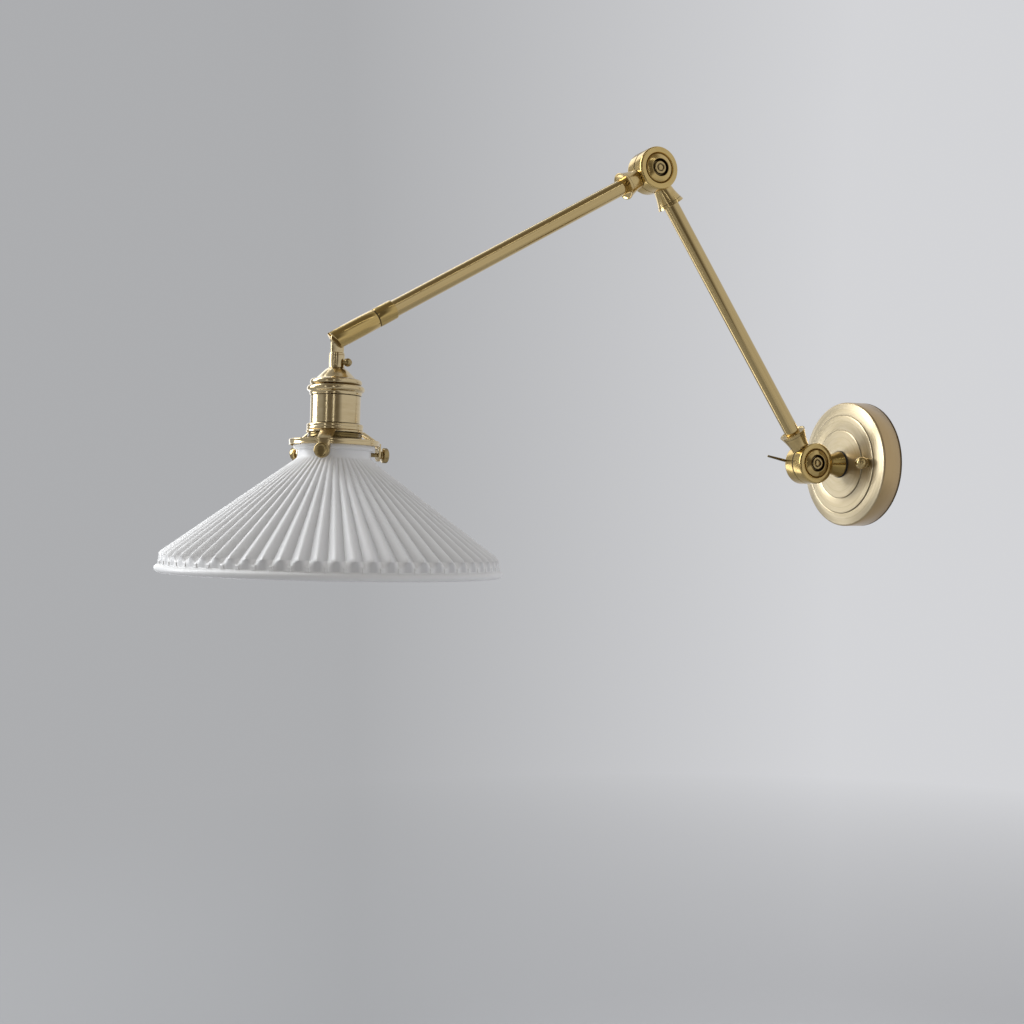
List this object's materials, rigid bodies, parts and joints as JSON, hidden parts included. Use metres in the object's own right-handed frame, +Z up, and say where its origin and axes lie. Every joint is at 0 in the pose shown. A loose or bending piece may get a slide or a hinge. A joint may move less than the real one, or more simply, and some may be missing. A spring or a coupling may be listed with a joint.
{
  "type": "swing arm wall lamp",
  "caption": "Wall lamp with a round plate, two tube arms on round friction knuckles, and a hinged lampholder with a wide pleated shade.",
  "frame": {"origin": "centre of the bracket's back face, on the wall, midway between the two wall screw holes", "axes": "+Z up, the lamp reaches from the wall towards -Y, the knuckle axes lie along X"},
  "size_m": [0.238, 0.5792, 0.3278],
  "materials": {
    "satin_brass": "satin, lightly aged, with circular brush marks",
    "shaded_brass": "satin, a little darker in its grooves",
    "zinc_steel": "zinc plated",
    "black_fibre": "matt black fibre",
    "white_glaze": "white, softly glazed",
    "insulator": "unglazed off-white",
    "contact_brass": "bright",
    "terminal_plastic": "matt off-white",
    "bulb_metal": "plain",
    "opal_glass": "opal white"
  },
  "bodies": {
    "base": {"wall_bracket": "zinc_steel", "mounting_studs": "zinc_steel", "stud_locknuts": "zinc_steel", "terminal_block": "terminal_plastic", "wall_plate": "satin_brass", "ball_nuts": "satin_brass", "swivel_washer": "black_fibre"},
    "stem": {"wall_neck": "satin_brass", "neck_spring_washer": "zinc_steel", "neck_locknut": "zinc_steel", "wall_pivot_bolt": "shaded_brass", "wall_friction_ring": "black_fibre"},
    "lever": {"clamp_lever": "shaded_brass"},
    "lower_arm": {"lower_arm_base": "satin_brass", "lower_tube": "satin_brass", "elbow_lower_half": "satin_brass", "elbow_bolt": "shaded_brass", "elbow_friction_ring": "black_fibre", "elbow_nut": "shaded_brass"},
    "upper_arm": {"elbow_upper_half": "satin_brass", "upper_tube": "satin_brass", "arm_sleeve": "satin_brass", "hinge_pin": "shaded_brass"},
    "head": {"hinge_tongue": "satin_brass", "lampholder_cap": "satin_brass", "lock_screw": "shaded_brass", "lampholder_shell": "satin_brass", "upper_shade_ring": "satin_brass", "lower_shade_ring": "shaded_brass", "socket_ceramic": "insulator", "screw_shell": "contact_brass", "centre_contact": "contact_brass", "gallery": "satin_brass", "shade": "white_glaze", "bulb_cap": "bulb_metal", "bulb_glass": "opal_glass"},
    "screw_right": {"thumbscrew_right": "shaded_brass"},
    "screw_left": {"thumbscrew_left": "shaded_brass"},
    "screw_back": {"thumbscrew_back": "shaded_brass"}
  },
  "joints": [
    {"name": "stem_swivel", "type": "hinge", "parent": "base", "child": "stem", "pos_m": [0, 0, 0], "axis": [0, 1, 0], "range_deg": [-90, 90]},
    {"name": "lever_turn", "type": "hinge", "parent": "stem", "child": "lever", "pos_m": [0, -0.053, 0], "axis": [1, 0, 0], "range_deg": [-110, 15]},
    {"name": "wall_knuckle", "type": "hinge", "parent": "stem", "child": "lower_arm", "pos_m": [0, -0.053, 0], "axis": [1, 0, 0], "range_deg": [-33, 140]},
    {"name": "elbow_knuckle", "type": "hinge", "parent": "lower_arm", "child": "upper_arm", "pos_m": [0, -0.20202, 0.22515], "axis": [-1, 0, 0], "range_deg": [-40, 120]},
    {"name": "head_hinge", "type": "hinge", "parent": "upper_arm", "child": "head", "pos_m": [0, -0.45566, 0.08048], "axis": [1, 0, 0], "range_deg": [-115, 30]},
    {"name": "screw_right_travel", "type": "slide", "parent": "head", "child": "screw_right", "axis": [0.866, -0.4998, 0.014], "range_m": [0, 0.0032]},
    {"name": "screw_left_travel", "type": "slide", "parent": "head", "child": "screw_left", "axis": [-0.866, -0.4998, 0.014], "range_m": [0, 0.0032]},
    {"name": "screw_back_travel", "type": "slide", "parent": "head", "child": "screw_back", "axis": [0, 0.9996, -0.0279], "range_m": [0, 0.0032]}
  ]
}
